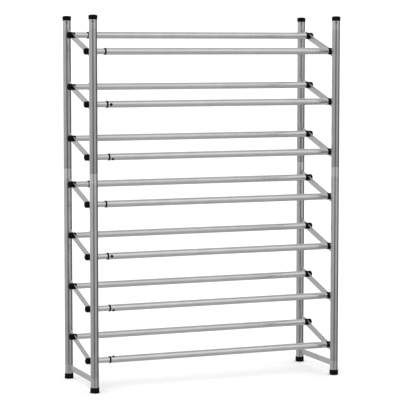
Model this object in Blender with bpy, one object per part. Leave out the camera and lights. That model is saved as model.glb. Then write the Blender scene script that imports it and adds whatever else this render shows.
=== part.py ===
"""Extending seven-tier shoe rack made of chrome steel tube.

A right-hand and a left-hand end frame are joined by two telescoping rails on each tier.
Each end frame is two posts with one sloping flat strut per tier welded between them, and a
level crossbar near the floor. A rail ends in a plastic collar that is hollowed to fit its strut, a
stud passes through the strut, and a low round knob closes the joint from outside.
The rack comes in two modules, four tiers below and three above: the upper posts end in
spigots that drop into the open tops of the lower posts.

Metres, +X to the right, +Y to the back, +Z up. The origin is on the floor, under the middle.
"""

import math

import bmesh
import bpy
from mathutils import Matrix, Vector

# Layout
POST_SPACING_X = 0.732
POST_SPACING_Y = 0.234
TIERS_LOWER = 4
TIERS_UPPER = 3
TIER_PITCH = 0.145
MODULE_PITCH = 0.130        # from the top lower tier to the bottom upper tier
FIRST_FRONT_RAIL_Z = 0.083
RAIL_RISE = 0.045           # the back rail of a tier is this much higher than the front rail
FRONT_RAIL_INSET = 0.036    # from the front posts' axes back to the front rails' axes
BACK_RAIL_INSET = 0.049
STRUT_DROP = 0.0025         # a strut's axis passes this far under the axes of its two rails
SEAM_Z = 0.606              # where the upper posts stand on the lower posts
POST_TOP_Z = 1.033

# Tube sections
POST_RADIUS = 0.0114
POST_WALL = 0.0007
BAR_HALF_WIDTH = 0.0018      # struts and crossbars are tubes pressed flat, set on edge
STRUT_HALF_HEIGHT = 0.00925
CROSSBAR_HALF_HEIGHT = 0.0085
BAR_WALL = 0.0007
OUTER_RAIL_RADIUS = 0.0095
OUTER_RAIL_WALL = 0.0006
INNER_RAIL_RADIUS = 0.0081
INNER_RAIL_WALL = 0.0006
SPIGOT_LENGTH = 0.045
SPIGOT_SHOULDER = 0.003

# Sliding fit of the rails, as the rack stands: nearly closed. The outer rails' left ends, where
# the inner rails come out, lie a little further right on each lower tier, alike in both modules.
BUSH_MOUTH_X = {1: -0.3121, 2: -0.3127, 3: -0.3176, 4: -0.3224}
BUSH_LENGTH = 0.0045
BUSH_RADIUS = 0.0098
BUSH_SLEEVE = 0.018         # how far the bush's sleeve reaches into the outer rail
INNER_RAIL_END_X = 0.263    # hidden right end of the inner rails

# Fixing of a rail to its strut, as distances from the strut's axis along the rail
SADDLE_SPLIT = 0.0002       # half the slit between the two saddles
OUTER_COLLAR_START = 0.0095  # where an outer rail's tube ends and its plastic collar begins
INNER_COLLAR_START = 0.0070
PLUG_END = 0.019            # inner end of the plug inside the tube
COLLAR_STEP = 0.0003        # how far the outer rail's collar stands proud of the tube
INNER_COLLAR_RADIUS = 0.0085
SADDLE_RADIUS = 0.0084
KNOB_START = 0.0040
KNOB_RADIUS = 0.0091
KNOB_RIM = 0.0105           # where the knob's straight side ends and its dome begins
KNOB_TIP = 0.0158
STUD_RADIUS = 0.003
STUD_CLEARANCE = 0.0005

# Feet, caps and the lowest bar
FOOT_HEIGHT = 0.015
FOOT_SOLE_RADIUS = 0.0122
FOOT_BASE_RADIUS = 0.0129
FOOT_TOP_RADIUS = 0.0124
FOOT_FLOOR = 0.004
CAP_SKIRT = 0.009
CAP_SKIRT_RADIUS = 0.0122
CAP_TOP_RADIUS = 0.0126
CAP_ROOF = 0.002
CAP_DOME = 0.0025
CROSSBAR_Z = 0.033

GAP = 0.0003                # clearance between pieces that touch
POST_SIDES = 16
RAIL_SIDES = 12
BAR_EDGE_STEPS = 5
STUD_SIDES = 8
DOME_STEPS = 3

SIDES = {"left": -1, "right": 1}
ENDS = {"front": -1, "back": 1}
TIERS = range(1, TIERS_LOWER + TIERS_UPPER + 1)


def clear_scene():
    for obj in list(bpy.data.objects):
        bpy.data.objects.remove(obj, do_unlink=True)


def make_material(name, color, metallic, roughness):
    material = bpy.data.materials.new(name)
    material.use_nodes = True
    shader = material.node_tree.nodes["Principled BSDF"]
    shader.inputs["Base Color"].default_value = (*color, 1.0)
    shader.inputs["Metallic"].default_value = metallic
    shader.inputs["Roughness"].default_value = roughness
    return material


def link_mesh(name, bm):
    """Turns the bmesh into an object with outward normals."""
    bmesh.ops.recalc_face_normals(bm, faces=bm.faces)
    mesh = bpy.data.meshes.new(name)
    bm.to_mesh(mesh)
    bm.free()
    obj = bpy.data.objects.new(name, mesh)
    bpy.context.collection.objects.link(obj)
    return obj


def add_part(name, bm, material):
    """A node of the rack, shaded smooth round its turned sides."""
    part = link_mesh(name, bm)
    part.data.shade_smooth()
    part.data.set_sharp_from_angle(angle=math.radians(40))
    part.data.materials.append(material)
    return part


def add_helper(name, bm):
    """A tool for a Boolean: it isn't a piece of the rack."""
    helper = link_mesh(name, bm)
    helper.hide_render = True
    helper.display_type = "WIRE"
    return helper


def add_boolean(part, operation, tool):
    modifier = part.modifiers.new(tool.name, "BOOLEAN")
    modifier.operation = operation
    modifier.object = tool


def add_ring(bm, radius, height, sides):
    """A ring of vertices about Z, or a single vertex where the radius is zero."""
    if radius == 0:
        return [bm.verts.new((0, 0, height))]
    angles = [2 * math.pi * i / sides for i in range(sides)]
    return [bm.verts.new((radius * math.cos(a), radius * math.sin(a), height)) for a in angles]


def bridge_rings(bm, first, second):
    """Faces between two rings, either of which may be a single vertex on the axis."""
    count = max(len(first), len(second))
    for i in range(count):
        j = (i + 1) % count
        corners = [first[i % len(first)], first[j % len(first)]]
        corners += [second[j % len(second)], second[i % len(second)]]
        bm.faces.new(list(dict.fromkeys(corners)))


def add_turned(bm, profile, sides):
    """A solid of revolution about Z. The profile holds (radius, height) pairs.

    A profile whose ends are both on the axis makes a solid piece, and any other profile is
    joined from its last point to its first, which makes a ring or a tube.
    """
    rings = [add_ring(bm, radius, height, sides) for radius, height in profile]
    for first, second in zip(rings, rings[1:]):
        bridge_rings(bm, first, second)
    if profile[0][0] > 0:
        bridge_rings(bm, rings[-1], rings[0])


def turned(profile, sides):
    bm = bmesh.new()
    add_turned(bm, profile, sides)
    return bm


def tier_front_z(tier):
    """Height of the front rail's axis on a tier, counted from 1 at the bottom."""
    if tier <= TIERS_LOWER:
        return FIRST_FRONT_RAIL_Z + (tier - 1) * TIER_PITCH
    return tier_front_z(TIERS_LOWER) + MODULE_PITCH + (tier - TIERS_LOWER - 1) * TIER_PITCH


def rail_axis(tier, end):
    """(y, z) of the axis of a tier's front or back rail."""
    if end == "front":
        return -POST_SPACING_Y / 2 + FRONT_RAIL_INSET, tier_front_z(tier)
    return POST_SPACING_Y / 2 - BACK_RAIL_INSET, tier_front_z(tier) + RAIL_RISE


def bush_mouth_x(tier):
    return BUSH_MOUTH_X[tier if tier <= TIERS_LOWER else tier - TIERS_UPPER]


def frame_x(side):
    return SIDES[side] * POST_SPACING_X / 2


def post_place(side, end):
    return frame_x(side), ENDS[end] * POST_SPACING_Y / 2, 0


def make_lower_post(side, end, material):
    """A plain tube from its foot up to the seam, open at the top for the spigot."""
    bottom = FOOT_FLOOR + GAP
    bore = POST_RADIUS - POST_WALL
    profile = [(POST_RADIUS, bottom), (POST_RADIUS, SEAM_Z), (bore, SEAM_Z), (bore, bottom)]
    post = add_part(f"post_{side}_{end}_lower", turned(profile, POST_SIDES), material)
    post.location = post_place(side, end)


def make_upper_post(side, end, material):
    """A tube whose lower end is swaged down into a spigot."""
    bottom = SEAM_Z + GAP
    bore = POST_RADIUS - POST_WALL
    spigot = bore - GAP
    spigot_bore = spigot - POST_WALL
    tip = SEAM_Z - SPIGOT_LENGTH
    profile = [
        (POST_RADIUS, POST_TOP_Z),
        (POST_RADIUS, bottom),
        (spigot, bottom),
        (spigot, tip),
        (spigot_bore, tip),
        (spigot_bore, bottom + SPIGOT_SHOULDER),
        (bore, bottom + 2 * SPIGOT_SHOULDER),
        (bore, POST_TOP_Z),
    ]
    post = add_part(f"post_{side}_{end}_upper", turned(profile, POST_SIDES), material)
    post.location = post_place(side, end)


def make_foot(side, end, material):
    """A flared cup pressed on the bottom of a post."""
    socket = POST_RADIUS + GAP
    profile = [
        (0, 0),
        (FOOT_SOLE_RADIUS, 0),
        (FOOT_BASE_RADIUS, FOOT_FLOOR / 2),
        (FOOT_TOP_RADIUS, FOOT_HEIGHT),
        (socket, FOOT_HEIGHT),
        (socket, FOOT_FLOOR),
        (0, FOOT_FLOOR),
    ]
    foot = add_part(f"foot_{side}_{end}", turned(profile, POST_SIDES), material)
    foot.location = post_place(side, end)


def make_cap(side, end, material):
    """A low domed cap over the top of a post, a little wider at its top than at its skirt."""
    socket = POST_RADIUS + GAP
    roof = POST_TOP_Z + GAP
    rim = roof + CAP_ROOF
    profile = [
        (0, rim + CAP_DOME),
        (0.55 * CAP_TOP_RADIUS, rim + 0.8 * CAP_DOME),
        (0.9 * CAP_TOP_RADIUS, rim + 0.3 * CAP_DOME),
        (CAP_TOP_RADIUS, rim - CAP_ROOF / 2),
        (CAP_SKIRT_RADIUS, roof - CAP_SKIRT),
        (socket, roof - CAP_SKIRT),
        (socket, roof),
        (0, roof),
    ]
    cap = add_part(f"cap_{side}_{end}", turned(profile, POST_SIDES), material)
    cap.location = post_place(side, end)


def flat_section(half_width, half_height):
    """(x, height) points round a flattened tube: flat sides and half-round edges."""
    points = []
    for edge in (1, -1):
        for i in range(BAR_EDGE_STEPS + 1):
            angle = math.pi * i / BAR_EDGE_STEPS
            x = half_width * math.cos(angle)
            height = half_height - half_width + half_width * math.sin(angle)
            points.append((edge * x, edge * height))
    return points


def frame_ring(bm, point, slope, section, y_at):
    """One end ring of a flat bar that runs through a point in the YZ plane at a slope.

    y_at gives the y where each line of the bar's surface ends, from the line's x.
    """
    along = Vector((0, math.cos(slope), math.sin(slope)))
    across = Vector((0, -math.sin(slope), math.cos(slope)))
    verts = []
    for x, height in section:
        start = point + Vector((x, 0, 0)) + across * height
        verts.append(bm.verts.new(start + along * ((y_at(x) - start.y) / along.y)))
    return verts


def coped_tube(point, slope, half_height):
    """A flattened tube between the posts, its ends cut to fit round them.

    Every line of the tube's wall runs until it is one gap away from each post's surface.
    """
    reach = POST_RADIUS + GAP

    def post_surface(end):
        return lambda x: end * (POST_SPACING_Y / 2 - math.sqrt(reach**2 - x**2))

    bm = bmesh.new()
    rings = []
    for inset, end in ((0, -1), (0, 1), (BAR_WALL, 1), (BAR_WALL, -1)):
        section = flat_section(BAR_HALF_WIDTH - inset, half_height - inset)
        rings.append(frame_ring(bm, point, slope, section, post_surface(end)))
    for first, second in zip(rings, rings[1:] + rings[:1]):
        bridge_rings(bm, first, second)
    return bm


def strut_line(tier):
    """A point on a tier's strut axis, and the strut's slope."""
    front_y, front_z = rail_axis(tier, "front")
    back_y, back_z = rail_axis(tier, "back")
    slope = math.atan2(back_z - front_z, back_y - front_y)
    return Vector((0, front_y, front_z - STRUT_DROP)), slope


def groove_tool(side, tier):
    """A solid bar along a strut, one gap bigger all round, that cuts the saddles' grooves."""
    point, slope = strut_line(tier)
    bm = bmesh.new()
    section = flat_section(BAR_HALF_WIDTH + GAP, STRUT_HALF_HEIGHT + GAP)
    rings = [
        frame_ring(bm, point, slope, section, lambda x, y=y: y)
        for y in (-POST_SPACING_Y / 2, POST_SPACING_Y / 2)
    ]
    bridge_rings(bm, *rings)
    for ring in rings:
        bm.faces.new(ring)
    tool = add_helper(f"groove_{side}_{tier}", bm)
    tool.location.x = frame_x(side)
    return tool


def stud_rod(radius, start, end):
    """A round rod about Z."""
    bm = bmesh.new()
    add_turned(bm, [(0, start), (radius, start), (radius, end), (0, end)], STUD_SIDES)
    return bm


def place_on_strut(obj, side, tier, end):
    """Turns an object's Z axis outwards along a rail and puts its origin on the strut's axis."""
    y, z = rail_axis(tier, end)
    turn = Matrix.Rotation(SIDES[side] * math.pi / 2, 4, "Y")
    obj.matrix_world = Matrix.Translation((frame_x(side), y, z)) @ turn


def make_strut(side, tier, material):
    """The sloping tube that carries a tier's two rails on one side, drilled for their studs."""
    tube = coped_tube(*strut_line(tier), STRUT_HALF_HEIGHT)
    strut = add_part(f"strut_{side}_{tier}", tube, material)
    strut.location.x = frame_x(side)
    for end in ENDS:
        drill = stud_rod(STUD_RADIUS + STUD_CLEARANCE, -2 * BAR_HALF_WIDTH, 2 * BAR_HALF_WIDTH)
        tool = add_helper(f"stud_hole_{side}_{end}_{tier}", drill)
        place_on_strut(tool, side, tier, end)
        add_boolean(strut, "DIFFERENCE", tool)


def make_crossbar(side, material):
    """The level bar between the two lower posts of an end frame."""
    tube = coped_tube(Vector((0, 0, CROSSBAR_Z)), 0, CROSSBAR_HALF_HEIGHT)
    crossbar = add_part(f"crossbar_{side}", tube, material)
    crossbar.location.x = frame_x(side)


def knob_profile():
    """The outer saddle and the domed knob, as (radius, distance outwards)."""
    profile = [
        (0, SADDLE_SPLIT),
        (SADDLE_RADIUS, SADDLE_SPLIT),
        (SADDLE_RADIUS, KNOB_START),
        (KNOB_RADIUS, KNOB_START),
    ]
    for i in range(DOME_STEPS):
        angle = math.pi / 2 * i / DOME_STEPS
        height = KNOB_RIM + (KNOB_TIP - KNOB_RIM) * math.sin(angle)
        profile.append((KNOB_RADIUS * math.cos(angle), height))
    return profile + [(0, KNOB_TIP)]


def collar_profile(tube_radius, collar_radius, tube_start):
    """The inner saddle and the collar that meets the tube, as (radius, distance outwards)."""
    return [
        (0, -SADDLE_SPLIT),
        (collar_radius, -SADDLE_SPLIT),
        (collar_radius, -tube_start),
        (tube_radius, -tube_start),
    ]


def make_rail(name, side, tier, end, tube_profile, groove, material):
    """A rail turned about its own axis, with its fixing on the strut of its own side."""
    bm = turned(tube_profile, RAIL_SIDES)
    add_turned(bm, knob_profile(), RAIL_SIDES)
    rail = add_part(name, bm, material)
    stud = add_helper(f"stud_{name}", stud_rod(STUD_RADIUS, -PLUG_END / 2, KNOB_RIM))
    for obj in (rail, stud):
        place_on_strut(obj, side, tier, end)
    add_boolean(rail, "DIFFERENCE", groove)
    add_boolean(rail, "UNION", stud)


def make_outer_rail(tier, end, groove, material):
    """The wide tube, fixed on the right, with the guide bush round its open left end."""
    mouth = bush_mouth_x(tier) - POST_SPACING_X / 2
    bore = OUTER_RAIL_RADIUS - OUTER_RAIL_WALL
    guide = INNER_RAIL_RADIUS + GAP
    collar_radius = OUTER_RAIL_RADIUS + COLLAR_STEP
    profile = collar_profile(OUTER_RAIL_RADIUS, collar_radius, OUTER_COLLAR_START) + [
        (OUTER_RAIL_RADIUS, mouth + BUSH_LENGTH),
        (BUSH_RADIUS, mouth + BUSH_LENGTH),
        (BUSH_RADIUS, mouth),
        (guide, mouth),
        (guide, mouth + BUSH_SLEEVE),
        (bore, mouth + BUSH_SLEEVE),
        (bore, -PLUG_END),
        (0, -PLUG_END),
    ]
    make_rail(f"rail_outer_{end}_{tier}", "right", tier, end, profile, groove, material)


def make_inner_rail(tier, end, groove, material):
    """The narrow tube, fixed on the left, that slides inside the outer rail."""
    tip = -(INNER_RAIL_END_X + POST_SPACING_X / 2)
    bore = INNER_RAIL_RADIUS - INNER_RAIL_WALL
    profile = collar_profile(INNER_RAIL_RADIUS, INNER_COLLAR_RADIUS, INNER_COLLAR_START) + [
        (INNER_RAIL_RADIUS, tip),
        (bore, tip),
        (bore, -PLUG_END),
        (0, -PLUG_END),
    ]
    make_rail(f"rail_inner_{end}_{tier}", "left", tier, end, profile, groove, material)


def main():
    clear_scene()
    chrome = make_material("chrome", (0.62, 0.63, 0.62), 1.0, 0.22)
    bright_chrome = make_material("bright_chrome", (0.70, 0.71, 0.70), 1.0, 0.15)
    black_plastic = make_material("black_plastic", (0.02, 0.02, 0.022), 0.0, 0.4)
    for side in SIDES:
        for end in ENDS:
            make_lower_post(side, end, chrome)
            make_upper_post(side, end, chrome)
            make_foot(side, end, black_plastic)
            make_cap(side, end, black_plastic)
        make_crossbar(side, chrome)
    for tier in TIERS:
        grooves = {side: groove_tool(side, tier) for side in SIDES}
        for side in SIDES:
            make_strut(side, tier, chrome)
        for end in ENDS:
            make_outer_rail(tier, end, grooves["right"], bright_chrome)
            make_inner_rail(tier, end, grooves["left"], bright_chrome)


main()
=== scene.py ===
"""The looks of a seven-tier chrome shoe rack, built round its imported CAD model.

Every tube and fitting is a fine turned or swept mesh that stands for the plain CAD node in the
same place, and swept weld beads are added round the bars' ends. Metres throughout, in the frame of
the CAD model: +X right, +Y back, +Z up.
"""

import math

import bmesh
import bpy
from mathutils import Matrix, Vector


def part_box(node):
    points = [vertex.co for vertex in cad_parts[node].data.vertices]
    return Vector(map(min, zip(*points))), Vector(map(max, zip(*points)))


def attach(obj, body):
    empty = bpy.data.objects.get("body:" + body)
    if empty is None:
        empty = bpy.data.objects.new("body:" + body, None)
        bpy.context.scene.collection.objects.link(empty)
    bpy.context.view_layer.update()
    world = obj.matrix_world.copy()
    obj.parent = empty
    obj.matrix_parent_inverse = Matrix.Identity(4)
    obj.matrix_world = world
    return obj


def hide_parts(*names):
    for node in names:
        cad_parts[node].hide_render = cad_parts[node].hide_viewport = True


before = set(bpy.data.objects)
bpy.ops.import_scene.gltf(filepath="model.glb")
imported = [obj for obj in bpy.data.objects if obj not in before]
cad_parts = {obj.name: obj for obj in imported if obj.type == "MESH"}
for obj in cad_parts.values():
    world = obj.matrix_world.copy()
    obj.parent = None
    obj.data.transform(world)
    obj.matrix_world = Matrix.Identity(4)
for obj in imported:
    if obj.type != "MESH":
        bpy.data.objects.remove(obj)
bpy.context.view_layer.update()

SIDES = {"left": -1, "right": 1}
ENDS = {"front": -1, "back": 1}
TIER_COUNT = 7
TIERS = range(1, TIER_COUNT + 1)
TIERS_LOWER = 4
SHARP_ANGLE = math.radians(38)
TURN_SIDES = 72               # round a turned piece
POST_SIDES = 96
SADDLE_SIDES = 64
SMALL_SIDES = 24              # round a stud or a drill
ON_AXIS = 1e-7                # a radius below this is a single point

# Sections of the CAD model's tubes
POST_WALL = 0.0007
BAR_HALF_WIDTH = 0.0018
STRUT_HALF_HEIGHT = 0.00925
STRUT_DROP = 0.0025
CROSSBAR_HALF_HEIGHT = 0.0085
BAR_WALL = 0.0007
OUTER_RAIL_RADIUS = 0.0095
INNER_RAIL_RADIUS = 0.0081
RAIL_WALL = 0.0006
GAP = 0.0003                  # between pieces that fit over or into each other

# Rounding of the edges
MAX_ARC_SHARE = 0.45          # of a side, taken up by the arc at one of its ends
ROUNDING_STEPS = 3
POST_EDGE = 0.0003
POST_END_EDGE = 0.0004
RAIL_EDGE = 0.00025
CAP_EDGE = 0.0005
FOOT_EDGE = 0.0007
BUSH_EDGE = 0.0007
BUSH_EDGE_STEPS = 4
FITTING_EDGE = 0.0004
KNOB_EDGE = 0.0003
KNOB_SHOULDER_EDGE = 0.0005

# Cap: a low dome over a straight skirt that tapers at its top
CAP_DOME = 0.0035
CAP_DOME_POWER = 0.8
CAP_DOME_STEPS = 6
CAP_TAPER = 0.0001
CAP_TAPER_LENGTH = 0.0012
CAP_SKIRT_STEP = 0.0004

# Foot, as (share of its radius, height) from the hollow under its sole up to its straight side
FOOT_PROFILE = ((0, 0.0008), (0.45, 0.0008), (0.5, 0), (0.93, 0), (1, 0.002), (0.97, 0.0085))
FOOT_TOP_SHARE = 0.96

# Bars, which reach a little into the posts, and the weld beads round their ends
BAR_REACH = 0.0006
BAR_STEPS = (10, 6)           # steps of mesh round each edge and along each side
BEAD_STEPS = (14, 26)
BEAD_RADIUS = 0.0012
BEAD_SIDES = 10
BEAD_RIPPLES = ((0.10, 2.1, 0.0), (0.06, 0.7, 1.3))  # (size, turn for each step, start)

# Foot of an upper post, where its tube narrows to the spigot, as heights over the seam
SWAGE_START = 0.003
SWAGE_END = 0.006

# Small hole below a cap, in the dimple of its punch, and the rings of mesh for the dimple
HOLE_DROP = 0.0062
HOLE_RADIUS = 0.0016
HOLE_FACING = (-0.34, -0.94, 0)
DIMPLE_DEPTH = 0.0004
DIMPLE_SPREAD = 0.0026
DIMPLE_REACH = 0.0055
DIMPLE_STEPS = 20

# Fixing of a rail to its strut, as distances from the strut's axis along the rail
SADDLE_SPLIT = 0.0002
COLLAR_END = {"outer": 0.0095, "inner": 0.0070}
COLLAR_RADIUS = {"outer": 0.0098, "inner": 0.0085}
PLUG_END = 0.019
SADDLE_RADIUS = 0.0084
KNOB_START = 0.0040
KNOB_RADIUS = 0.0091
KNOB_RIM = 0.0102
KNOB_TIP = 0.0158
KNOB_DOME_STEPS = 9
SADDLE_RINGS = 9              # rings of mesh across the hollowed end
SADDLE_EDGE_STEPS = 4
SADDLE_DEPTH = 0.0034         # the straight side of a saddle is one piece beyond this
STUD_RADIUS = 0.003
STUD_CLEARANCE = 0.0005
PRESS_FIT = 0.0001            # between a plug or a sleeve and the tube round it

# Guide bush at the open end of an outer rail, and the peg that holds it
BUSH_LENGTH = 0.0045
BUSH_RADIUS = 0.0098
BUSH_SLEEVE = 0.018
BUSH_FUNNEL_WIDTH = 0.0008
BUSH_FUNNEL_DEPTH = 0.0012
PEG_OFFSET = 0.0121
PEG_RADIUS = 0.0042
PEG_HEIGHT = 0.0010
PEG_SEAT = 0.0006
PEG_DOME = 0.0009
PEG_DOME_STEPS = 5
PEG_SIDES = 32
PEG_TURN = {7: 170, 6: -3, 5: -38, 4: 175, 3: 2, 2: -40, 1: 72}

# Chrome platings, as (bright, dull, roughness, stretch of the drawing lines, their depth)
POST_CHROME = ((0.615, 0.624, 0.619), (0.555, 0.564, 0.559), 0.17, (1.0, 1.0, 0.02), 0.10)
STRUT_CHROME = ((0.657, 0.664, 0.660), (0.597, 0.604, 0.600), 0.20, (1.0, 0.03, 1.0), 0.10)
RAIL_CHROME = ((0.81, 0.81, 0.81), (0.75, 0.75, 0.75), 0.22, (0.02, 1.0, 1.0), 0.05)
LINE_SCALE = 900.0
LINE_HEIGHT = 0.00004
LINE_SHARE = 0.3              # of the variation in tone
CLOUD_SCALE = 26.0
CLOUD_SHARE = 0.7
ROUGHNESS_SPREAD = 0.035
SPECK_SCALE = 420.0
SPECK_SPAN = (0.70, 0.80)
SPECK_COLOUR = (0.36, 0.36, 0.35, 1.0)
SPECK_SHARE = 0.35
SPECK_ROUGHNESS = 0.12

# Painted highlight: a paler band of colour painted on the ends of the posts in place of the
# lighter reflections there, as (where it starts, where it is full, where it ends)
PAINTED_HIGHLIGHT_BANDS = ((0.572, 0.582, 0.6062), (0.992, 1.004, 1.040), (-0.020, -0.010, 0.042))
PAINTED_HIGHLIGHT_EDGE = 0.0004
PAINTED_HIGHLIGHT_COLOUR = (0.690, 0.698, 0.694, 1.0)
PAINTED_HIGHLIGHT_ROUGHNESS = 0.06

# Weld
WELD_SCALE = 300.0
WELD_HEIGHT = 0.0001
WELD_DULL = (0.46, 0.46, 0.45, 1)
WELD_BRIGHT = (0.62, 0.62, 0.61, 1)
WELD_ROUGHNESS = (0.24, 0.38)

# Black plastic
PLASTIC_GRAIN_SCALE = 2600.0
PLASTIC_GRAIN_HEIGHT = 0.00003
PLASTIC_FLOW_SCALE = 120.0
PLASTIC_FLOW_STRETCH = (1.0, 1.0, 0.35)
PLASTIC_DARK = (0.002, 0.002, 0.0022, 1)
PLASTIC_LIGHT = (0.005, 0.005, 0.0055, 1)
PLASTIC_WORN = (0.03, 0.03, 0.031, 1)
PLASTIC_WORN_SPAN = (0.53, 0.62)  # of pointiness
PLASTIC_WORN_SHARE = 0.4
PLASTIC_ROUGHNESS = (0.40, 0.56)
PLASTIC_SPECULAR = 0.07

# Where nearly all of a noise's values lie, and where most of them do
NOISE_SPAN = (0.3, 0.7)
NOISE_CORE = (0.35, 0.65)

# Camera: where it stands and how it looks at the rack
CAMERA_PLACE = (-1.870, -4.642, 0.951)
CAMERA_YAW = 21.87
CAMERA_PITCH = 5.01
CAMERA_LENS = 157.5

# Studio
WHITE_LIGHT = (1.20, 1.20, 1.20, 1)
KEY_PLACE = (-2.2, -2.6, 3.2)
KEY_AIM = (0, 0, 0.4)
KEY_SIZE = 2.4
KEY_POWER = 36
FLOOR_HALF_SIZE = 30
FLOOR_SCALE = 3.0
FLOOR_TONES = (0.965, 0.98)
FLOOR_ROUGHNESS = 0.9

# The studio that the chrome mirrors, in degrees over the horizon and round from the front.
# A band is (its middle, half its width, the width of its soft edge).
LEVEL_SPAN = (-30, 8)
LEVEL_BRIGHT = (0.44, 0.66)
OVERHEAD_SPAN = (8, 60)
OVERHEAD_BRIGHT = (0.0, -0.16)
SOFTBOX_BAND = (40, 8, 22)
SOFTBOX_BRIGHT = 0.38
BEHIND_BRIGHT = 0.16
OPENINGS_BAND = (-4, 14, 16)
OPENING_AHEAD = (-2, 6, 24)
OPENING_AHEAD_SHADE = 0.74
OPENING_ASIDE = (112, 24, 16)
OPENING_ASIDE_SHADE = 0.80
IN_FRONT_SPAN = (-0.2, 0.5)       # spans of the part of a direction that points to the front
BEHIND_SPAN = (-0.75, -0.92)


def body_of(side, tier):
    return f"{side}_{'lower' if tier <= TIERS_LOWER else 'upper'}"


def box_centre(node):
    low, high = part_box(node)
    return (low + high) / 2


# ---------------------------------------------------------------- meshes

def rounded(outline, radius, closed=False, steps=ROUNDING_STEPS):
    """The outline with an arc at each corner, as large as its sides leave room for."""
    points = [Vector(point) for point in outline]
    result = []
    for i, corner in enumerate(points):
        if not closed and i in (0, len(points) - 1):
            result.append(corner)
            continue
        back = points[i - 1] - corner
        ahead = points[(i + 1) % len(points)] - corner
        half = back.angle(ahead) / 2
        room = MAX_ARC_SHARE * min(back.length, ahead.length)
        reach = min(radius / math.tan(half), room)
        bisector = (back.normalized() + ahead.normalized()).normalized()
        centre = corner + bisector * (reach / math.cos(half))
        start = corner + back.normalized() * reach - centre
        end = corner + ahead.normalized() * reach - centre
        turn = math.pi - 2 * half
        for step in range(steps + 1):
            share = step / steps
            weights = math.sin((1 - share) * turn), math.sin(share * turn)
            result.append(centre + (start * weights[0] + end * weights[1]) / math.sin(turn))
    return result


def axes_about(axis):
    """Two unit vectors square to the axis and to each other."""
    axis = Vector(axis).normalized()
    helper = Vector((0, 0, 1)) if abs(axis.z) < 0.9 else Vector((0, 1, 0))
    first = helper.cross(axis).normalized()
    return axis, first, axis.cross(first)


def add_faces(bm, rings, closed):
    """Quads between rings of vertices, and triangles round a ring of a single vertex."""
    pairs = list(zip(rings, rings[1:]))
    if closed:
        pairs.append((rings[-1], rings[0]))
    for first, second in pairs:
        count = max(len(first), len(second))
        for i in range(count):
            j = (i + 1) % count
            corners = [first[i % len(first)], first[j % len(first)]]
            corners += [second[j % len(second)], second[i % len(second)]]
            bm.faces.new(list(dict.fromkeys(corners)))


def turn_outline(bm, outline, origin, axis, sides, closed, shape=None):
    """Turns (radius, distance) points about an axis. shape may move a point along or across."""
    axis, first, second = axes_about(axis)
    rings = []
    for radius, distance in outline:
        ring = []
        for i in range(1 if radius < ON_AXIS else sides):
            angle = 2 * math.pi * i / sides
            radial = first * math.cos(angle) + second * math.sin(angle)
            r, d = (radius, distance) if shape is None else shape(radial, radius, distance)
            ring.append(bm.verts.new(Vector(origin) + axis * d + radial * r))
        rings.append(ring)
    add_faces(bm, rings, closed)


def turned(outline, origin, axis, sides, closed=False, shape=None):
    bm = bmesh.new()
    turn_outline(bm, outline, origin, axis, sides, closed, shape)
    return bm


def add_piece(name, bm, material, body, nodes=()):
    """A shown piece that rides on a body and stands for some CAD nodes."""
    bmesh.ops.recalc_face_normals(bm, faces=bm.faces)
    mesh = bpy.data.meshes.new(name)
    bm.to_mesh(mesh)
    bm.free()
    mesh.shade_smooth()
    mesh.set_sharp_from_angle(angle=SHARP_ANGLE)
    mesh.materials.append(material)
    piece = bpy.data.objects.new(name, mesh)
    bpy.context.collection.objects.link(piece)
    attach(piece, body)
    if nodes:
        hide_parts(*nodes)
    return piece


# ---------------------------------------------------------------- node trees

class Tree:
    """Shorthand for building a node tree. A value is a number, a colour or another socket."""

    MIX_FIRST, MIX_SECOND, MIX_RESULT = 6, 7, 2  # a mix node's sockets for colours

    def __init__(self, tree):
        self.tree = tree

    def node(self, kind, settings=None, **inputs):
        made = self.tree.nodes.new(kind)
        for name, value in (settings or {}).items():
            setattr(made, name, value)
        for name, value in inputs.items():
            self.feed(made.inputs[name.replace("_", " ")], value)
        return made

    def feed(self, socket, value):
        if isinstance(value, bpy.types.NodeSocket):
            self.tree.links.new(value, socket)
        else:
            socket.default_value = value

    def math(self, operation, *values):
        made = self.tree.nodes.new("ShaderNodeMath")
        made.operation = operation
        for socket, value in zip(made.inputs, values):
            self.feed(socket, value)
        return made.outputs[0]

    def ramp(self, value, low, high, to_low=0.0, to_high=1.0):
        """Eases from to_low to to_high as the value goes from low to high."""
        settings = {"interpolation_type": "SMOOTHSTEP"}
        made = self.node("ShaderNodeMapRange", settings, Value=value)
        for name, number in (("From Min", low), ("From Max", high)):
            made.inputs[name].default_value = number
        for name, number in (("To Min", to_low), ("To Max", to_high)):
            made.inputs[name].default_value = number
        return made.outputs[0]

    def band(self, value, centre, half, soft):
        """1 within half of the centre, easing to 0 over soft beyond it."""
        away = self.math("ABSOLUTE", self.math("SUBTRACT", value, centre))
        return self.ramp(away, half, half + soft, 1.0, 0.0)

    def noise(self, vector, scale, detail=3.0, roughness=0.5):
        made = self.node("ShaderNodeTexNoise", Vector=vector, Scale=scale, Detail=detail)
        made.inputs["Roughness"].default_value = roughness
        return made.outputs["Fac"]

    def stretched(self, vector, scale):
        return self.node("ShaderNodeMapping", Vector=vector, Scale=scale).outputs[0]

    def grey(self, value):
        return self.node("ShaderNodeCombineColor", Red=value, Green=value, Blue=value).outputs[0]

    def mix(self, factor, first, second):
        made = self.node("ShaderNodeMix", {"data_type": "RGBA"}, Factor=factor)
        self.feed(made.inputs[self.MIX_FIRST], first)
        self.feed(made.inputs[self.MIX_SECOND], second)
        return made.outputs[self.MIX_RESULT]


def new_material(name):
    """(material, its tree, its shader, object coordinates)"""
    material = bpy.data.materials.new(name)
    material.use_nodes = True
    tree = Tree(material.node_tree)
    shader = material.node_tree.nodes["Principled BSDF"]
    place = tree.node("ShaderNodeTexCoord").outputs["Object"]
    return material, tree, shader, place


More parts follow.
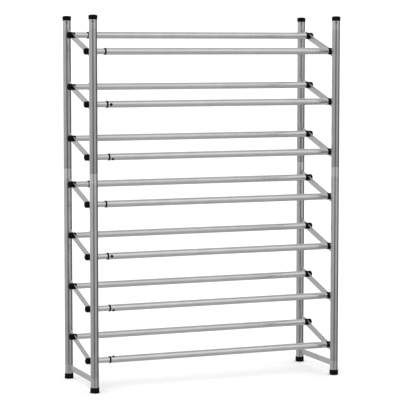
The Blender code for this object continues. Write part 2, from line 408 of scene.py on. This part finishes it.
def painted_highlight_ends(tree, place):
    """1 at the ends of the posts, where a paler colour and a softer finish are painted on as a
    highlight, and 0 elsewhere.
    """
    height = tree.node("ShaderNodeSeparateXYZ", Vector=place).outputs["Z"]
    bands = []
    for start, full, stop in PAINTED_HIGHLIGHT_BANDS:
        rise = tree.ramp(height, start, full)
        fall = tree.ramp(height, stop - PAINTED_HIGHLIGHT_EDGE, stop, 1.0, 0.0)
        bands.append(tree.math("MULTIPLY", rise, fall))
    return tree.math("MAXIMUM", tree.math("MAXIMUM", bands[0], bands[1]), bands[2])


def chrome(name, bright, dull, roughness, grain, brushing, is_post=False):
    """Plated steel: fine drawing lines along the tube, soft clouding and small dull specks."""
    material, tree, shader, place = new_material(name)
    lines = tree.noise(tree.stretched(place, grain), LINE_SCALE, 4.0, 0.6)
    clouds = tree.noise(place, CLOUD_SCALE, 3.0)
    specks = tree.ramp(tree.noise(place, SPECK_SCALE, 2.0, 0.7), *SPECK_SPAN)
    tone = tree.math("ADD", tree.math("MULTIPLY", clouds, CLOUD_SHARE),
                     tree.math("MULTIPLY", lines, LINE_SHARE))
    colour = tree.mix(tree.ramp(tone, *NOISE_CORE), (*dull, 1.0), (*bright, 1.0))
    # On the posts, a paler band of colour is painted on at their ends as a highlight.
    pale = painted_highlight_ends(tree, place) if is_post else 0.0
    colour = tree.mix(pale, colour, PAINTED_HIGHLIGHT_COLOUR)
    spotted = tree.mix(tree.math("MULTIPLY", specks, SPECK_SHARE), colour, SPECK_COLOUR)
    tree.feed(shader.inputs["Base Color"], spotted)
    spread = roughness - ROUGHNESS_SPREAD, roughness + ROUGHNESS_SPREAD
    rough = tree.math("ADD", tree.ramp(tone, *NOISE_SPAN, *spread),
                      tree.math("MULTIPLY", specks, SPECK_ROUGHNESS))
    rough = tree.math("ADD", rough, tree.math("MULTIPLY", pale, PAINTED_HIGHLIGHT_ROUGHNESS))
    tree.feed(shader.inputs["Roughness"], rough)
    shader.inputs["Metallic"].default_value = 1.0
    bump = tree.node("ShaderNodeBump", Strength=brushing, Distance=LINE_HEIGHT, Height=lines)
    tree.feed(shader.inputs["Normal"], bump.outputs[0])
    return material


def weld_metal():
    """The plated bead of a weld: the chrome's colour, duller and rippled."""
    material, tree, shader, place = new_material("weld_metal")
    patches = tree.noise(place, WELD_SCALE, 4.0, 0.6)
    colour = tree.mix(tree.ramp(patches, *NOISE_CORE), WELD_DULL, WELD_BRIGHT)
    tree.feed(shader.inputs["Base Color"], colour)
    tree.feed(shader.inputs["Roughness"], tree.ramp(patches, *NOISE_SPAN, *WELD_ROUGHNESS))
    shader.inputs["Metallic"].default_value = 1.0
    bump = tree.node("ShaderNodeBump", Strength=0.5, Distance=WELD_HEIGHT, Height=patches)
    tree.feed(shader.inputs["Normal"], bump.outputs[0])
    return material


def moulded_plastic():
    """Black polypropylene: a fine matt grain, faint flow marks and greyed edges."""
    material, tree, shader, place = new_material("moulded_plastic")
    grain = tree.noise(place, PLASTIC_GRAIN_SCALE, 3.0, 0.6)
    flow = tree.noise(tree.stretched(place, PLASTIC_FLOW_STRETCH), PLASTIC_FLOW_SCALE, 3.0)
    base = tree.mix(tree.ramp(flow, *NOISE_SPAN), PLASTIC_DARK, PLASTIC_LIGHT)
    pointiness = tree.node("ShaderNodeNewGeometry").outputs["Pointiness"]
    worn = tree.math("MULTIPLY", tree.ramp(pointiness, *PLASTIC_WORN_SPAN), PLASTIC_WORN_SHARE)
    tree.feed(shader.inputs["Base Color"], tree.mix(worn, base, PLASTIC_WORN))
    tree.feed(shader.inputs["Roughness"], tree.ramp(grain, *NOISE_SPAN, *PLASTIC_ROUGHNESS))
    shader.inputs["Specular IOR Level"].default_value = PLASTIC_SPECULAR
    bump = tree.node("ShaderNodeBump", Strength=0.25, Distance=PLASTIC_GRAIN_HEIGHT,
                     Height=grain)
    tree.feed(shader.inputs["Normal"], bump.outputs[0])
    return material


# ---------------------------------------------------------------- end frames

def dimple(height):
    """A shape function for a post: a shallow dimple on the side that the hole faces."""
    facing = Vector(HOLE_FACING).normalized()

    def shape(radial, radius, distance):
        around = radius * math.acos(max(-1.0, min(1.0, radial.dot(facing))))
        away = math.hypot(around, distance - height)
        return radius - DIMPLE_DEPTH * math.exp(-(away / DIMPLE_SPREAD) ** 2), distance

    return shape


def drill(piece, centre, axis, radius, length):
    """Cuts a round hole that runs from a point along an axis."""
    bm = turned([(0, 0), (radius, 0), (radius, length), (0, length)], centre, axis, SMALL_SIDES)
    bmesh.ops.recalc_face_normals(bm, faces=bm.faces)
    mesh = bpy.data.meshes.new("drill")
    bm.to_mesh(mesh)
    bm.free()
    cutter = bpy.data.objects.new("drill", mesh)
    bpy.context.collection.objects.link(cutter)
    modifier = piece.modifiers.new("hole", "BOOLEAN")
    modifier.operation = "DIFFERENCE"
    modifier.object = cutter
    with bpy.context.temp_override(object=piece, active_object=piece):
        bpy.ops.object.modifier_apply(modifier=modifier.name)
    bpy.data.objects.remove(cutter)
    piece.data.set_sharp_from_angle(angle=SHARP_ANGLE)


def make_posts(material):
    for side in SIDES:
        for end in ENDS:
            lower = f"post_{side}_{end}_lower"
            upper = f"post_{side}_{end}_upper"
            make_lower_post(lower, side, material)
            hole_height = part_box(f"cap_{side}_{end}")[0].z - HOLE_DROP
            make_upper_post(upper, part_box(lower)[1].z, hole_height, side, material)


def post_axis(node):
    """(point on the floor under the post, radius, bottom, top)"""
    low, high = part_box(node)
    centre = (low + high) / 2
    return Vector((centre.x, centre.y, 0)), (high.x - low.x) / 2, low.z, high.z


def make_lower_post(node, side, material):
    origin, radius, bottom, top = post_axis(node)
    bore = radius - POST_WALL
    outline = [(radius, top), (radius, bottom), (bore, bottom), (bore, top)]
    bm = turned(rounded(outline, POST_EDGE, True), origin, (0, 0, 1), POST_SIDES, True)
    add_piece(node.replace("post", "tube"), bm, material, f"{side}_lower", [node])


def make_upper_post(node, seam, hole_height, side, material):
    """The spigot at its foot stands inside the lower post, below the seam."""
    origin, radius, tip, top = post_axis(node)
    bore = radius - POST_WALL
    bottom = seam + GAP
    spigot = bore - GAP
    corners = [
        (radius, top),
        (radius, bottom),
        (spigot, bottom),
        (spigot, tip),
        (spigot - POST_WALL, tip),
        (spigot - POST_WALL, bottom + SWAGE_START),
        (bore, bottom + SWAGE_END),
        (bore, top),
    ]
    outline = rounded(corners, POST_END_EDGE, True)
    rings = [DIMPLE_REACH * (1 - 2 * i / DIMPLE_STEPS) for i in range(DIMPLE_STEPS + 1)]
    after_top = ROUNDING_STEPS + 1
    outline[after_top:after_top] = [Vector((radius, hole_height + z)) for z in rings]
    bm = turned(outline, origin, (0, 0, 1), POST_SIDES, True, dimple(hole_height))
    name = node.replace("post", "tube")
    piece = add_piece(name, bm, material, f"{side}_upper", [node])
    drill(piece, Vector((origin.x, origin.y, hole_height)), HOLE_FACING, HOLE_RADIUS, 2 * radius)


def make_caps(material):
    for side in SIDES:
        for end in ENDS:
            node = f"cap_{side}_{end}"
            low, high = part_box(node)
            centre = (low + high) / 2
            radius = (high.x - low.x) / 2
            post_radius = post_axis(f"post_{side}_{end}_upper")[1] + GAP
            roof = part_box(f"post_{side}_{end}_upper")[1].z + GAP
            rim = high.z - CAP_DOME
            outline = [Vector((0, high.z))]
            for i in range(1, CAP_DOME_STEPS):
                angle = math.pi / 2 * i / CAP_DOME_STEPS
                rise = CAP_DOME * math.cos(angle) ** CAP_DOME_POWER
                outline.append(Vector((radius * math.sin(angle), rim + rise)))
            outline.append(Vector((radius, rim)))
            skirt = [
                (radius - CAP_TAPER, rim - CAP_TAPER_LENGTH),
                (radius - CAP_SKIRT_STEP, low.z),
                (post_radius, low.z),
                (post_radius, roof),
                (0, roof),
            ]
            outline += rounded(skirt, CAP_EDGE)
            origin = Vector((centre.x, centre.y, 0))
            bm = turned(outline, origin, (0, 0, 1), TURN_SIDES)
            add_piece(node.replace("cap", "post_cap"), bm, material, f"{side}_upper",
                      [node])


def make_feet(material):
    for side in SIDES:
        for end in ENDS:
            node = f"foot_{side}_{end}"
            low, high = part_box(node)
            centre = (low + high) / 2
            radius = (high.x - low.x) / 2
            socket = post_axis(f"post_{side}_{end}_lower")[1] + GAP
            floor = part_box(f"post_{side}_{end}_lower")[0].z - GAP
            outline = [
                *[(share * radius, height) for share, height in FOOT_PROFILE],
                (FOOT_TOP_SHARE * radius, high.z),
                (socket, high.z),
                (socket, floor),
                (0, floor),
            ]
            origin = Vector((centre.x, centre.y, 0))
            bm = turned(rounded(outline, FOOT_EDGE), origin, (0, 0, 1), TURN_SIDES)
            add_piece(node.replace("foot", "post_foot"), bm, material, f"{side}_lower",
                      [node])


def flat_section(half_width, half_height, edge_steps, side_steps):
    """(x, height) points round a flattened tube: flat sides and half-round edges."""
    straight = half_height - half_width
    points = []
    for edge in (1, -1):
        for i in range(edge_steps + 1):
            angle = math.pi * i / edge_steps
            x = half_width * math.cos(angle)
            points.append((edge * x, edge * (straight + half_width * math.sin(angle))))
        for i in range(1, side_steps):
            height = straight * (1 - 2 * i / side_steps)
            points.append((-edge * half_width, edge * height))
    return points


def bar_ring(point, slope, section, end_y):
    """The points where a bar's lines, one for each point of its section, meet a post."""
    along = Vector((0, math.cos(slope), math.sin(slope)))
    across = Vector((0, -math.sin(slope), math.cos(slope)))
    ring = []
    for x, height in section:
        start = point + Vector((x, 0, 0)) + across * height
        ring.append(start + along * ((end_y(x) - start.y) / along.y))
    return ring


def bar_between_posts(side, point, slope, half_height):
    """(tube mesh, weld bead mesh) of a flat bar between the posts of an end frame.

    The tube's ends are cut to the posts' round and reach a little into them.
    """
    posts = {e: post_axis(f"post_{side}_{e}_lower") for e in ENDS}

    def surface(end, reach):
        axis_y, radius = posts[end][0].y, posts[end][1] + reach
        return lambda x: axis_y - ENDS[end] * math.sqrt(radius**2 - x**2)

    tube = bmesh.new()
    rings = []
    for inset, end in ((0, "front"), (0, "back"), (BAR_WALL, "back"), (BAR_WALL, "front")):
        section = flat_section(BAR_HALF_WIDTH - inset, half_height - inset, *BAR_STEPS)
        ring = bar_ring(point, slope, section, surface(end, -BAR_REACH))
        rings.append([tube.verts.new(place) for place in ring])
    add_faces(tube, rings, True)
    beads = bmesh.new()
    outside = flat_section(BAR_HALF_WIDTH, half_height, *BEAD_STEPS)
    for end in ENDS:
        seam = bar_ring(point, slope, outside, surface(end, 0.0))
        add_bead(beads, seam, posts[end][0], posts[end][1] - BAR_REACH)
    return tube, beads


def add_bead(bm, seam, post, clear_radius):
    """A rippled bead of weld along a closed seam round a bar, clear of the inside of the post."""
    middle = sum(seam, Vector()) / len(seam)
    rings = []
    for i, here in enumerate(seam):
        tangent = (seam[(i + 1) % len(seam)] - seam[i - 1]).normalized()
        outward = here - middle
        outward = (outward - tangent * outward.dot(tangent)).normalized()
        sideways = tangent.cross(outward)
        ripple = sum(size * math.sin(turn * i + start) for size, turn, start in BEAD_RIPPLES)
        thick = BEAD_RADIUS * (1 + ripple)
        ring = []
        for j in range(BEAD_SIDES):
            angle = 2 * math.pi * j / BEAD_SIDES
            offset = outward * math.cos(angle) + sideways * math.sin(angle)
            place = here + offset * thick
            away = Vector((place.x - post.x, place.y - post.y, 0))
            place += away.normalized() * max(clear_radius - away.length, 0.0)
            ring.append(bm.verts.new(place))
        rings.append(ring)
    add_faces(bm, rings, True)


def rail_centre(kind, end, tier):
    centre = box_centre(f"rail_{kind}_{end}_{tier}")
    return Vector((0, centre.y, centre.z))


def strut_line(side, tier):
    """(point on the strut's axis, slope)"""
    kind = "outer" if side == "right" else "inner"
    front = rail_centre(kind, "front", tier)
    back = rail_centre(kind, "back", tier)
    slope = math.atan2(back.z - front.z, back.y - front.y)
    return Vector((box_centre(f"strut_{side}_{tier}").x, front.y, front.z - STRUT_DROP)), slope


def make_struts(material, weld):
    for side in SIDES:
        for tier in TIERS:
            node = f"strut_{side}_{tier}"
            point, slope = strut_line(side, tier)
            tube, beads = bar_between_posts(side, point, slope, STRUT_HALF_HEIGHT)
            piece = add_piece(f"cross_tube_{side}_{tier}", tube, material, body_of(side, tier),
                              [node])
            kind = "outer" if side == "right" else "inner"
            for end in ENDS:
                centre = rail_centre(kind, end, tier)
                start = Vector((point.x - SADDLE_RADIUS, centre.y, centre.z))
                radius = STUD_RADIUS + STUD_CLEARANCE
                drill(piece, start, (1, 0, 0), radius, 2 * SADDLE_RADIUS)
            add_piece(f"welds_{side}_{tier}", beads, weld, body_of(side, tier))
        centre = box_centre(f"crossbar_{side}")
        tube, beads = bar_between_posts(side, centre, 0.0, CROSSBAR_HALF_HEIGHT)
        add_piece(f"low_tube_{side}", tube, material, f"{side}_lower",
                  [f"crossbar_{side}"])
        add_piece(f"welds_{side}_low", beads, weld, f"{side}_lower")


# ---------------------------------------------------------------- rails

def saddle(slope, fillet):
    """A shape function that hollows the end of a turned piece to fit round a strut."""
    across = Vector((0, -math.sin(slope), math.cos(slope)))
    half_width = BAR_HALF_WIDTH + GAP
    straight = STRUT_HALF_HEIGHT - BAR_HALF_WIDTH
    drop = STRUT_DROP * math.cos(slope)

    def shape(radial, radius, distance):
        beyond = max(abs(radius * radial.dot(across) + drop) - straight, 0.0)
        depth = math.sqrt(max(half_width**2 - beyond**2, 0.0))
        return radius, max(distance, depth + min(distance - SADDLE_SPLIT, fillet))

    return shape


def saddle_end(radius, fillet):
    """The start of a saddled piece's outline: rings across its end, then its rounded edge."""
    flat = radius - fillet
    rings = [(flat * i / SADDLE_RINGS, SADDLE_SPLIT) for i in range(SADDLE_RINGS + 1)]
    for i in range(1, SADDLE_EDGE_STEPS + 1):
        angle = math.pi / 2 * i / SADDLE_EDGE_STEPS
        rings.append((flat + fillet * math.sin(angle),
                      SADDLE_SPLIT + fillet * (1 - math.cos(angle))))
    return [Vector(p) for p in rings]


def make_knob(name, side, body, centre, slope, material, nodes):
    """The outer saddle and the domed knob, moulded in one."""
    outline = saddle_end(SADDLE_RADIUS, KNOB_EDGE)
    outline += rounded([(SADDLE_RADIUS, SADDLE_DEPTH), (SADDLE_RADIUS, KNOB_START),
                        (KNOB_RADIUS, KNOB_START), (KNOB_RADIUS, KNOB_RIM)], KNOB_SHOULDER_EDGE)
    for i in range(1, KNOB_DOME_STEPS):
        angle = math.pi / 2 * i / KNOB_DOME_STEPS
        distance = KNOB_RIM + (KNOB_TIP - KNOB_RIM) * math.sin(angle)
        outline.append(Vector((KNOB_RADIUS * math.cos(angle), distance)))
    outline.append(Vector((0, KNOB_TIP)))
    shape = saddle(slope, KNOB_EDGE)
    bm = turned(outline, centre, (SIDES[side], 0, 0), SADDLE_SIDES, shape=shape)
    add_piece(name, bm, material, body, nodes)


def make_collar(name, side, body, centre, slope, kind, tube_radius, material, nodes):
    """The inner saddle with the plug that is pressed into the rail's end."""
    radius = COLLAR_RADIUS[kind]
    plug = tube_radius - RAIL_WALL - PRESS_FIT
    outline = saddle_end(radius, FITTING_EDGE)
    outline += rounded([(radius, SADDLE_DEPTH), (radius, COLLAR_END[kind]),
                        (plug, COLLAR_END[kind]), (plug, PLUG_END), (0, PLUG_END)], FITTING_EDGE)
    shape = saddle(slope, FITTING_EDGE)
    bm = turned(outline, centre, (-SIDES[side], 0, 0), SADDLE_SIDES, shape=shape)
    add_piece(name, bm, material, body, nodes)


def make_stud(name, side, body, centre, material, nodes):
    outline = rounded([(0, -PLUG_END / 2), (STUD_RADIUS, -PLUG_END / 2),
                       (STUD_RADIUS, KNOB_RIM), (0, KNOB_RIM)], FITTING_EDGE)
    bm = turned(outline, centre, (SIDES[side], 0, 0), SMALL_SIDES)
    add_piece(name, bm, material, body, nodes)


def make_tube(name, body, centre, start, end, radius, material, nodes):
    bore = radius - RAIL_WALL
    corners = [(radius, start), (radius, end), (bore, end), (bore, start)]
    bm = turned(rounded(corners, RAIL_EDGE, True), centre, (1, 0, 0), TURN_SIDES, True)
    add_piece(name, bm, material, body, nodes)


def make_bush(end, tier, centre, mouth, material, nodes):
    """The flanged sleeve that guides the inner rail, and its peg through the outer rail."""
    body = body_of("right", tier)
    guide = INNER_RAIL_RADIUS + GAP
    bore = OUTER_RAIL_RADIUS - RAIL_WALL
    sleeve = bore - PRESS_FIT
    outline = rounded([
        (sleeve, mouth + BUSH_SLEEVE),
        (sleeve, mouth + BUSH_LENGTH),
        (BUSH_RADIUS, mouth + BUSH_LENGTH),
        (BUSH_RADIUS, mouth),
        (guide + BUSH_FUNNEL_WIDTH, mouth),
        (guide, mouth + BUSH_FUNNEL_DEPTH),
        (guide, mouth + BUSH_SLEEVE),
    ], BUSH_EDGE, True, BUSH_EDGE_STEPS)
    bm = turned(outline, centre, (1, 0, 0), TURN_SIDES, True)
    add_piece(f"guide_bush_{end}_{tier}", bm, material, body, nodes)
    turn = math.radians(PEG_TURN[tier])
    axis = Vector((0, -math.cos(turn), math.sin(turn)))
    seat = bore - PEG_SEAT
    rim = OUTER_RAIL_RADIUS + PEG_HEIGHT - PEG_DOME
    outline = [(0, seat), (PEG_RADIUS, seat), (PEG_RADIUS, rim)]
    for i in range(1, PEG_DOME_STEPS):
        angle = math.pi / 2 * i / PEG_DOME_STEPS
        outline.append((PEG_RADIUS * math.cos(angle), rim + PEG_DOME * math.sin(angle)))
    outline.append((0, rim + PEG_DOME))
    origin = centre + Vector((mouth + PEG_OFFSET, 0, 0))
    bm = turned(outline, origin, axis, PEG_SIDES)
    add_piece(f"bush_peg_{end}_{tier}", bm, material, body, nodes)


def make_rails(tube_material, plastic, steel):
    for tier in TIERS:
        for end in ENDS:
            for kind, side in (("outer", "right"), ("inner", "left")):
                node = f"rail_{kind}_{end}_{tier}"
                body = body_of(side, tier)
                point, slope = strut_line(side, tier)
                centre = rail_centre(kind, end, tier)
                on_strut = Vector((point.x, centre.y, centre.z))
                radius = OUTER_RAIL_RADIUS if kind == "outer" else INNER_RAIL_RADIUS
                low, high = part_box(node)
                if kind == "outer":
                    start, stop = low.x + BUSH_LENGTH, point.x - COLLAR_END[kind]
                    make_bush(end, tier, centre, low.x, plastic, [node])
                else:
                    start, stop = point.x + COLLAR_END[kind], high.x
                make_tube(f"{kind}_tube_{end}_{tier}", body, centre, start, stop, radius,
                          tube_material, [node])
                tag = f"{side}_{end}_{tier}"
                make_collar(f"collar_{tag}", side, body, on_strut, slope, kind, radius,
                            plastic, [node])
                make_knob(f"knob_{tag}", side, body, on_strut, slope, plastic, [node])
                make_stud(f"stud_{tag}", side, body, on_strut, steel, [node])


# ---------------------------------------------------------------- studio

def make_camera():
    camera = bpy.data.objects.new("camera", bpy.data.cameras.new("camera"))
    bpy.context.collection.objects.link(camera)
    camera.location = CAMERA_PLACE
    camera.rotation_euler = (math.radians(90 - CAMERA_PITCH), 0, -math.radians(CAMERA_YAW))
    camera.data.lens = CAMERA_LENS
    bpy.context.scene.camera = camera


def make_floor():
    bm = bmesh.new()
    bmesh.ops.create_grid(bm, x_segments=1, y_segments=1, size=FLOOR_HALF_SIZE)
    mesh = bpy.data.meshes.new("floor")
    bm.to_mesh(mesh)
    bm.free()
    floor = bpy.data.objects.new("floor", mesh)
    bpy.context.collection.objects.link(floor)
    material, tree, shader, place = new_material("pale_floor")
    tone = tree.ramp(tree.noise(place, FLOOR_SCALE), *NOISE_SPAN, *FLOOR_TONES)
    tree.feed(shader.inputs["Base Color"], tree.grey(tone))
    shader.inputs["Roughness"].default_value = FLOOR_ROUGHNESS
    mesh.materials.append(material)
    floor.visible_glossy = False


def make_world():
    """An even white for soft light, and a studio with darker openings for the chrome to mirror."""
    world = bpy.data.worlds.new("studio")
    bpy.context.scene.world = world
    world.use_nodes = True
    tree = Tree(world.node_tree)
    yaw = math.radians(CAMERA_YAW)
    way = tree.node("ShaderNodeTexCoord").outputs["Generated"]

    def part_along(direction):
        made = tree.node("ShaderNodeVectorMath", {"operation": "DOT_PRODUCT"})
        tree.feed(made.inputs[0], way)
        tree.feed(made.inputs[1], direction)
        return made.outputs["Value"]

    to_front = part_along((-math.sin(yaw), -math.cos(yaw), 0))
    to_right = part_along((math.cos(yaw), -math.sin(yaw), 0))
    up = part_along((0, 0, 1))
    round_about = tree.math("ARCTAN2", to_right, to_front)
    rise = tree.math("ARCSINE", up)

    def radians(degrees):
        return [math.radians(number) for number in degrees]

    level = tree.ramp(rise, *radians(LEVEL_SPAN), *LEVEL_BRIGHT)
    overhead = tree.ramp(rise, *radians(OVERHEAD_SPAN), *OVERHEAD_BRIGHT)
    softbox = tree.math("MULTIPLY", tree.band(rise, *radians(SOFTBOX_BAND)),
                        tree.ramp(to_front, *IN_FRONT_SPAN, 0.0, SOFTBOX_BRIGHT))
    bright = tree.math("ADD", tree.math("ADD", level, overhead), softbox)
    behind = tree.ramp(to_front, *BEHIND_SPAN, 0.0, BEHIND_BRIGHT)
    bright = tree.math("ADD", bright, behind)
    near_level = tree.band(rise, *radians(OPENINGS_BAND))
    ahead = tree.band(round_about, *radians(OPENING_AHEAD))
    aside = tree.band(round_about, *radians(OPENING_ASIDE))
    openings = tree.math("MAXIMUM", tree.math("MULTIPLY", ahead, OPENING_AHEAD_SHADE),
                         tree.math("MULTIPLY", aside, OPENING_ASIDE_SHADE))
    shade = tree.math("SUBTRACT", 1.0, tree.math("MULTIPLY", openings, near_level))
    mirrored = tree.grey(tree.math("MULTIPLY", bright, shade))
    glossy = tree.node("ShaderNodeLightPath").outputs["Is Glossy Ray"]
    colour = tree.mix(glossy, WHITE_LIGHT, mirrored)
    background = world.node_tree.nodes["Background"]
    tree.feed(background.inputs["Color"], colour)


def make_key_light():
    """A large soft lamp from the upper left, for form on the black pieces and on the floor."""
    lamp = bpy.data.lights.new("key", "AREA")
    lamp.size = KEY_SIZE
    lamp.energy = KEY_POWER
    key = bpy.data.objects.new("key", lamp)
    bpy.context.collection.objects.link(key)
    key.location = KEY_PLACE
    aim = Vector(KEY_AIM) - Vector(KEY_PLACE)
    key.rotation_euler = aim.to_track_quat("-Z", "Y").to_euler()
    key.visible_glossy = False


def main():
    bpy.context.scene.view_settings.view_transform = "Standard"
    make_camera()
    make_floor()
    make_world()
    make_key_light()
    post_chrome = chrome("post_chrome", *POST_CHROME, is_post=True)
    strut_chrome = chrome("strut_chrome", *STRUT_CHROME)
    rail_chrome = chrome("rail_chrome", *RAIL_CHROME)
    weld = weld_metal()
    plastic = moulded_plastic()
    make_posts(post_chrome)
    make_caps(plastic)
    make_feet(plastic)
    make_struts(strut_chrome, weld)
    make_rails(rail_chrome, plastic, strut_chrome)


main()
